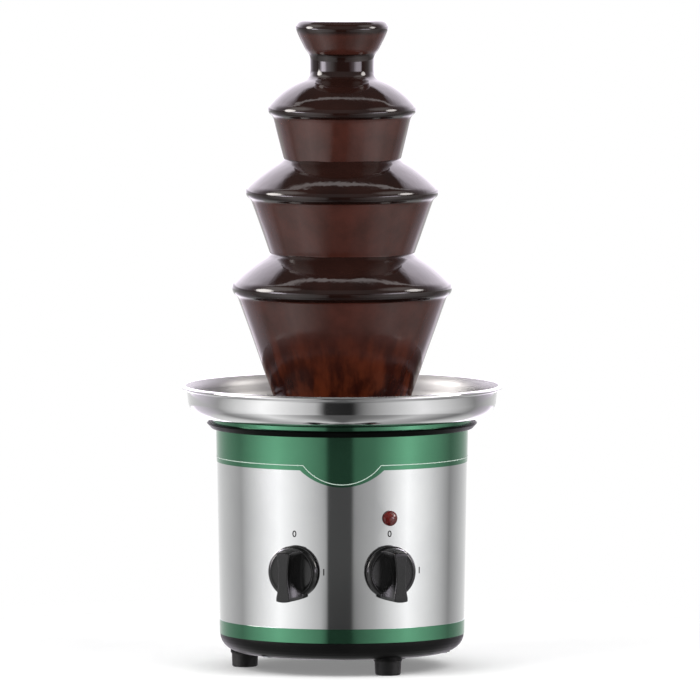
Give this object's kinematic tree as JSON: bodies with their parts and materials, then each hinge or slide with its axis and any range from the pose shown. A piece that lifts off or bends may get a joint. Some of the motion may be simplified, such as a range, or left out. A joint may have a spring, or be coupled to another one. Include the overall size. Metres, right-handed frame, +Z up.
{
  "type": "chocolate fountain",
  "caption": "Table-top chocolate fountain: heated steel bowl on a round motor base with two knobs, and a tiered auger tower in flowing chocolate.",
  "frame": {"origin": "centre of the fountain's axis on the surface that it stands on", "axes": "+Z up along the auger, -Y towards the front with the two knobs, +X to the right seen from the front"},
  "size_m": [0.198, 0.198, 0.4],
  "materials": {
    "pan_plastic": "satin",
    "ring_plastic": "gloss",
    "steel": "brushed",
    "polished_steel": "polished",
    "zinc_steel": "zinc plated",
    "green_band": "printed foil",
    "bronze": "machined",
    "rubber": "matte",
    "cast_aluminium": "cast",
    "element_steel": "oxidised",
    "ivory_plastic": "satin",
    "auger_plastic": "satin",
    "switch_plastic": "satin",
    "knob_plastic": "satin",
    "red_lens": "clear red",
    "chocolate": "wet gloss"
  },
  "bodies": {
    "base": {"base_pan": "pan_plastic", "body_shell": "steel", "lower_band": "green_band", "upper_band": "green_band", "trim_ring": "ring_plastic", "top_plate": "green_band", "bowl": "polished_steel", "hub_bush": "bronze", "shaft_seal": "rubber", "heat_plate": "cast_aluminium", "heating_element": "element_steel", "thermostat": "ivory_plastic", "thermal_fuse": "ivory_plastic", "standoffs": "zinc_steel", "motor_bracket": "zinc_steel", "output_bush": "bronze", "gearbox_case": "ivory_plastic", "idler_pin": "polished_steel", "motor_can": "zinc_steel", "tie_rods": "zinc_steel", "case_screws": "zinc_steel", "terminal_block": "ivory_plastic", "cord_gland": "pan_plastic", "motor_switch": "switch_plastic", "heat_switch": "switch_plastic", "switch_nuts": "zinc_steel", "indicator_holder": "switch_plastic", "indicator_lens": "red_lens", "foot_front": "rubber", "foot_left": "rubber", "foot_rear": "rubber", "foot_screws": "zinc_steel", "chocolate_pool": "chocolate"},
    "drive": {"output_gear": "ivory_plastic", "drive_shaft": "polished_steel", "shaft_collar": "zinc_steel"},
    "auger": {"auger": "auger_plastic"},
    "idler": {"idler_gear": "ivory_plastic"},
    "rotor": {"rotor": "zinc_steel", "motor_pinion": "bronze"},
    "motor_control": {"motor_spindle": "bronze", "motor_knob": "knob_plastic"},
    "heat_control": {"heat_spindle": "bronze", "heat_knob": "knob_plastic"},
    "tower": {"tower_tube": "polished_steel", "crown": "polished_steel", "tier_upper": "polished_steel", "tier_middle": "polished_steel", "tier_lower": "polished_steel", "chocolate_crown": "chocolate", "chocolate_upper": "chocolate", "chocolate_middle": "chocolate", "chocolate_lower": "chocolate"}
  },
  "joints": [
    {"name": "drive_spin", "type": "hinge", "parent": "base", "child": "drive", "pos_m": [0, 0, 0.11], "axis": [0, 0, 1], "continuous": true},
    {"name": "idler_spin", "type": "hinge", "parent": "base", "child": "idler", "pos_m": [0, 0.025, 0.1], "axis": [0, 0, 1], "continuous": true},
    {"name": "rotor_spin", "type": "hinge", "parent": "base", "child": "rotor", "pos_m": [0, 0, 0.07], "axis": [0, 0, 1], "continuous": true},
    {"name": "motor_knob_turn", "type": "hinge", "parent": "base", "child": "motor_control", "pos_m": [-0.02895, -0.07024, 0.065], "axis": [0.3811, 0.9245, 0], "range_deg": [0, 90]},
    {"name": "heat_knob_turn", "type": "hinge", "parent": "base", "child": "heat_control", "pos_m": [0.02895, -0.07024, 0.065], "axis": [-0.3811, 0.9245, 0], "range_deg": [0, 90]},
    {"name": "tower_lift", "type": "slide", "parent": "base", "child": "tower", "axis": [0, 0, 1], "range_m": [0, 0.24]},
    {"name": "auger_lift", "type": "slide", "parent": "drive", "child": "auger", "axis": [0, 0, 1], "range_m": [0, 0.0115]}
  ],
  "couplings": [
    {"joint": "idler_spin", "follows": "rotor_spin", "ratio": -0.38889},
    {"joint": "drive_spin", "follows": "rotor_spin", "ratio": 0.15123}
  ]
}
